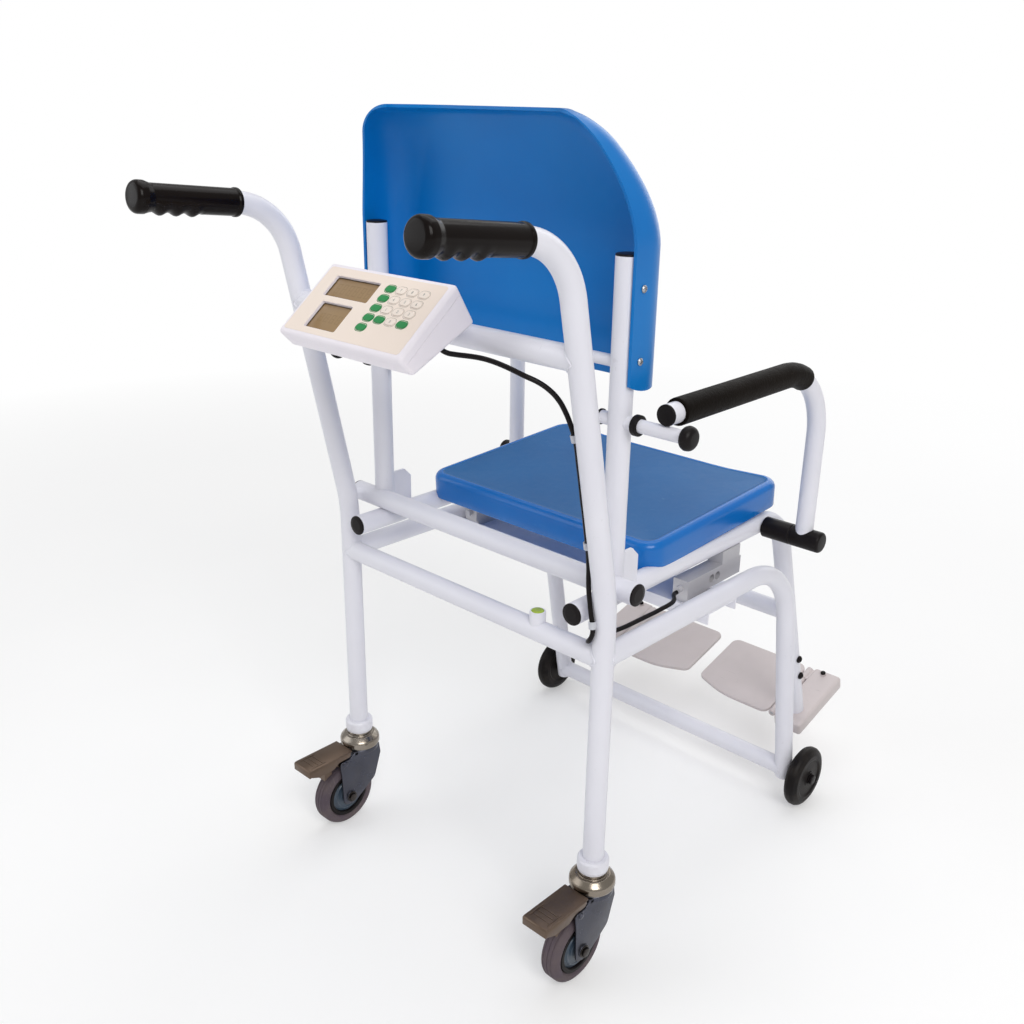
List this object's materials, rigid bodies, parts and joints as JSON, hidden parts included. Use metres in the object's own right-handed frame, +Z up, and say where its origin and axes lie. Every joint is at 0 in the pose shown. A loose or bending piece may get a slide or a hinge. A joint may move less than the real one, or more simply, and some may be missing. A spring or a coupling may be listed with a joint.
{
  "type": "digital chair scale",
  "caption": "Wheeled chair scale: seat, back, swing-up armrests and folding footplates on a tube frame that rests on load cells, with a digital indicator on the rear crossbar.",
  "frame": {"origin": "on the floor under the middle of the bounding box", "axes": "+Z up, -Y is the front that the seated person faces, +X is the seated person's left"},
  "size_m": [0.629, 0.9966, 1.0755],
  "materials": {
    "frame_paint": "satin powder coat",
    "shell_blue": "semi-gloss moulded",
    "seat_blue": "fine-grained moulded",
    "black_plastic": "satin moulded",
    "grip_black": "glossy",
    "pad_brown": "matte",
    "plate_grey": "satin moulded",
    "zinc": "zinc plated",
    "steel": "plain machined",
    "tyre_grey": "matte",
    "wheel_black": "semi-gloss",
    "housing_white": "fine-grained moulded",
    "board_green": "plain",
    "key_green": "semi-gloss",
    "key_white": "semi-gloss",
    "level_green": "clear tinted",
    "clip_clear": "translucent"
  },
  "bodies": {
    "base": {"upright_left": "frame_paint", "upright_right": "frame_paint", "side_rail_left": "frame_paint", "side_rail_right": "frame_paint", "upper_crossbar": "frame_paint", "lower_crossbar": "frame_paint", "front_crossbar": "frame_paint", "cell_channel": "frame_paint", "load_cells": "steel", "beam_left": "frame_paint", "beam_right": "frame_paint", "seat_crossbars": "frame_paint", "back_frame": "frame_paint", "end_plugs": "black_plastic", "seat_shell": "seat_blue", "back_shell": "shell_blue", "fasteners": "steel", "hand_grips": "grip_black", "caster_collars": "frame_paint", "bubble_level": "level_green", "indicator_case": "housing_white", "indicator_cover": "housing_white", "circuit_board": "board_green", "battery_pack": "black_plastic", "sensor_cable": "black_plastic", "cable_clips": "clip_clear", "footplate_brackets": "plate_grey"},
    "armrest_left": {"armrest_tube_left": "frame_paint", "arm_pad_left": "pad_brown", "arm_fittings_left": "black_plastic"},
    "armrest_right": {"armrest_tube_right": "frame_paint", "arm_pad_right": "pad_brown", "arm_fittings_right": "black_plastic"},
    "footplate_left": {"footplate_left": "plate_grey"},
    "footplate_right": {"footplate_right": "plate_grey"},
    "caster_left": {"caster_fork_left": "zinc"},
    "caster_right": {"caster_fork_right": "zinc"},
    "caster_wheel_left": {"caster_wheel_left": "tyre_grey"},
    "caster_wheel_right": {"caster_wheel_right": "tyre_grey"},
    "caster_brake_left": {"caster_brake_left": "zinc"},
    "caster_brake_right": {"caster_brake_right": "zinc"},
    "front_wheel_left": {"front_wheel_left": "wheel_black"},
    "front_wheel_right": {"front_wheel_right": "wheel_black"},
    "key_mode_1": {"key_mode_1": "key_green"},
    "key_mode_2": {"key_mode_2": "key_green"},
    "key_mode_3": {"key_mode_3": "key_green"},
    "key_mode_4": {"key_mode_4": "key_green"},
    "key_mode_5": {"key_mode_5": "key_green"},
    "key_7": {"key_7": "key_white"},
    "key_8": {"key_8": "key_white"},
    "key_9": {"key_9": "key_white"},
    "key_4": {"key_4": "key_white"},
    "key_5": {"key_5": "key_white"},
    "key_6": {"key_6": "key_white"},
    "key_1": {"key_1": "key_white"},
    "key_2": {"key_2": "key_white"},
    "key_3": {"key_3": "key_white"},
    "key_clear": {"key_clear": "key_green"},
    "key_0": {"key_0": "key_white"},
    "key_enter": {"key_enter": "key_green"}
  },
  "joints": [
    {"name": "armrest_swing_left", "type": "hinge", "parent": "base", "child": "armrest_left", "pos_m": [0.277, -0.18963, 0.51], "axis": [1, 0, 0], "range_deg": [0, 105]},
    {"name": "armrest_swing_right", "type": "hinge", "parent": "base", "child": "armrest_right", "pos_m": [-0.277, -0.18963, 0.51], "axis": [1, 0, 0], "range_deg": [0, 105]},
    {"name": "footplate_fold_left", "type": "hinge", "parent": "base", "child": "footplate_left", "pos_m": [0.171, -0.42358, 0.1197], "axis": [0, 0.9677, -0.2521], "range_deg": [0, 90]},
    {"name": "footplate_fold_right", "type": "hinge", "parent": "base", "child": "footplate_right", "pos_m": [-0.171, -0.42358, 0.1197], "axis": [0, -0.9677, 0.2521], "range_deg": [0, 90]},
    {"name": "caster_swivel_left", "type": "hinge", "parent": "base", "child": "caster_left", "pos_m": [0.238, 0.20837, 0.15], "axis": [0, 0, 1], "continuous": true},
    {"name": "caster_swivel_right", "type": "hinge", "parent": "base", "child": "caster_right", "pos_m": [-0.238, 0.20837, 0.15], "axis": [0, 0, 1], "continuous": true},
    {"name": "caster_roll_left", "type": "hinge", "parent": "caster_left", "child": "caster_wheel_left", "pos_m": [0.238, 0.24537, 0.05], "axis": [1, 0, 0], "continuous": true},
    {"name": "caster_roll_right", "type": "hinge", "parent": "caster_right", "child": "caster_wheel_right", "pos_m": [-0.238, 0.24537, 0.05], "axis": [1, 0, 0], "continuous": true},
    {"name": "brake_press_left", "type": "hinge", "parent": "caster_left", "child": "caster_brake_left", "pos_m": [0.238, 0.25437, 0.113], "axis": [-1, 0, 0], "range_deg": [0, 12]},
    {"name": "brake_press_right", "type": "hinge", "parent": "caster_right", "child": "caster_brake_right", "pos_m": [-0.238, 0.25437, 0.113], "axis": [-1, 0, 0], "range_deg": [0, 12]},
    {"name": "front_roll_left", "type": "hinge", "parent": "base", "child": "front_wheel_left", "pos_m": [0.268, -0.30583, 0.05], "axis": [1, 0, 0], "continuous": true},
    {"name": "front_roll_right", "type": "hinge", "parent": "base", "child": "front_wheel_right", "pos_m": [-0.268, -0.30583, 0.05], "axis": [1, 0, 0], "continuous": true},
    {"name": "key_mode_1_press", "type": "slide", "parent": "base", "child": "key_mode_1", "axis": [0, -0.6361, -0.7716], "range_m": [0, 0.0005], "stiffness_N_per_m": 250, "springref_m": -0.0005},
    {"name": "key_mode_2_press", "type": "slide", "parent": "base", "child": "key_mode_2", "axis": [0, -0.6361, -0.7716], "range_m": [0, 0.0005], "stiffness_N_per_m": 250, "springref_m": -0.0005},
    {"name": "key_mode_3_press", "type": "slide", "parent": "base", "child": "key_mode_3", "axis": [0, -0.6361, -0.7716], "range_m": [0, 0.0005], "stiffness_N_per_m": 250, "springref_m": -0.0005},
    {"name": "key_mode_4_press", "type": "slide", "parent": "base", "child": "key_mode_4", "axis": [0, -0.6361, -0.7716], "range_m": [0, 0.0005], "stiffness_N_per_m": 250, "springref_m": -0.0005},
    {"name": "key_mode_5_press", "type": "slide", "parent": "base", "child": "key_mode_5", "axis": [0, -0.6361, -0.7716], "range_m": [0, 0.0005], "stiffness_N_per_m": 250, "springref_m": -0.0005},
    {"name": "key_7_press", "type": "slide", "parent": "base", "child": "key_7", "axis": [0, -0.6361, -0.7716], "range_m": [0, 0.0005], "stiffness_N_per_m": 250, "springref_m": -0.0005},
    {"name": "key_8_press", "type": "slide", "parent": "base", "child": "key_8", "axis": [0, -0.6361, -0.7716], "range_m": [0, 0.0005], "stiffness_N_per_m": 250, "springref_m": -0.0005},
    {"name": "key_9_press", "type": "slide", "parent": "base", "child": "key_9", "axis": [0, -0.6361, -0.7716], "range_m": [0, 0.0005], "stiffness_N_per_m": 250, "springref_m": -0.0005},
    {"name": "key_4_press", "type": "slide", "parent": "base", "child": "key_4", "axis": [0, -0.6361, -0.7716], "range_m": [0, 0.0005], "stiffness_N_per_m": 250, "springref_m": -0.0005},
    {"name": "key_5_press", "type": "slide", "parent": "base", "child": "key_5", "axis": [0, -0.6361, -0.7716], "range_m": [0, 0.0005], "stiffness_N_per_m": 250, "springref_m": -0.0005},
    {"name": "key_6_press", "type": "slide", "parent": "base", "child": "key_6", "axis": [0, -0.6361, -0.7716], "range_m": [0, 0.0005], "stiffness_N_per_m": 250, "springref_m": -0.0005},
    {"name": "key_1_press", "type": "slide", "parent": "base", "child": "key_1", "axis": [0, -0.6361, -0.7716], "range_m": [0, 0.0005], "stiffness_N_per_m": 250, "springref_m": -0.0005},
    {"name": "key_2_press", "type": "slide", "parent": "base", "child": "key_2", "axis": [0, -0.6361, -0.7716], "range_m": [0, 0.0005], "stiffness_N_per_m": 250, "springref_m": -0.0005},
    {"name": "key_3_press", "type": "slide", "parent": "base", "child": "key_3", "axis": [0, -0.6361, -0.7716], "range_m": [0, 0.0005], "stiffness_N_per_m": 250, "springref_m": -0.0005},
    {"name": "key_clear_press", "type": "slide", "parent": "base", "child": "key_clear", "axis": [0, -0.6361, -0.7716], "range_m": [0, 0.0005], "stiffness_N_per_m": 250, "springref_m": -0.0005},
    {"name": "key_0_press", "type": "slide", "parent": "base", "child": "key_0", "axis": [0, -0.6361, -0.7716], "range_m": [0, 0.0005], "stiffness_N_per_m": 250, "springref_m": -0.0005},
    {"name": "key_enter_press", "type": "slide", "parent": "base", "child": "key_enter", "axis": [0, -0.6361, -0.7716], "range_m": [0, 0.0005], "stiffness_N_per_m": 250, "springref_m": -0.0005}
  ]
}
